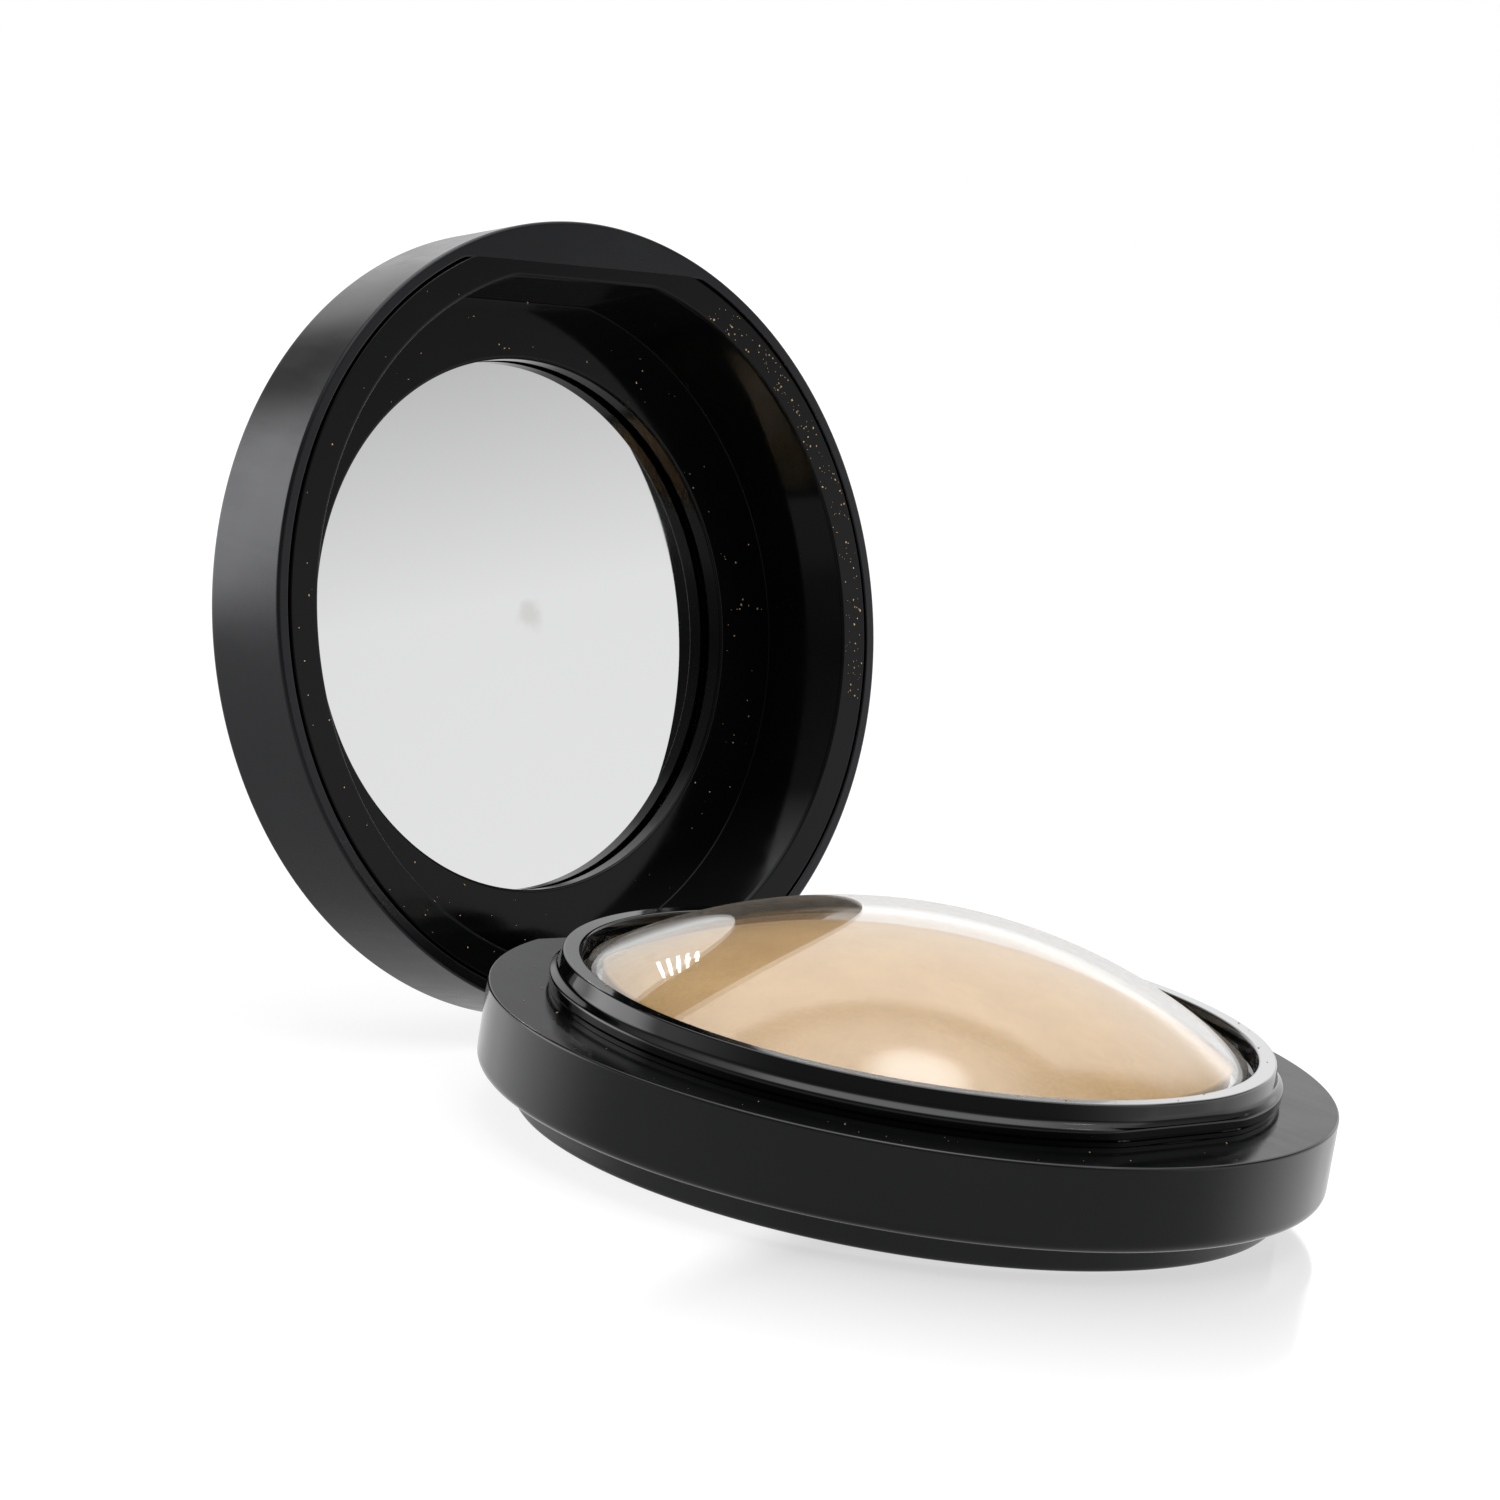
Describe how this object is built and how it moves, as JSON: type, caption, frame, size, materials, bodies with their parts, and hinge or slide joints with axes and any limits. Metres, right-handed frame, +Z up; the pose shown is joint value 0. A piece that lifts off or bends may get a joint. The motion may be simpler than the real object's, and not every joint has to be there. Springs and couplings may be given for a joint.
{
  "type": "powder compact",
  "caption": "Round black powder compact with a hinged mirrored lid and a clear domed cover over the powder.",
  "frame": {"origin": "centre of the foot's underside, on the surface the compact stands on", "axes": "+Z up, +Y from the front catch towards the hinge, hinge pin along X"},
  "size_m": [0.08, 0.1146, 0.0799],
  "materials": {
    "case_black": "gloss",
    "collar_black": "gloss",
    "foot_black": "satin",
    "label_paper": "matte",
    "adhesive": "matte",
    "pan_aluminium": "satin",
    "powder": "matte",
    "clear_cover": "clear",
    "pin_steel": "plain",
    "lid_black": "satin",
    "liner_black": "gloss",
    "mirror_glass": "polished"
  },
  "bodies": {
    "base": {"base_shell": "case_black", "collar_tray": "collar_black", "foot_plate": "foot_black", "base_label": "label_paper", "pan_adhesive": "adhesive", "powder_pan": "pan_aluminium", "powder_cake": "powder", "dome_cover": "clear_cover", "hinge_pin": "pin_steel"},
    "lid": {"lid_shell": "lid_black", "lid_liner": "liner_black", "mirror": "mirror_glass", "mirror_pad": "adhesive"}
  },
  "joints": [
    {"name": "lid_hinge", "type": "hinge", "parent": "base", "child": "lid", "pos_m": [0, 0.037, 0.0051], "axis": [1, 0, 0], "range_deg": [0, 105.1]}
  ]
}
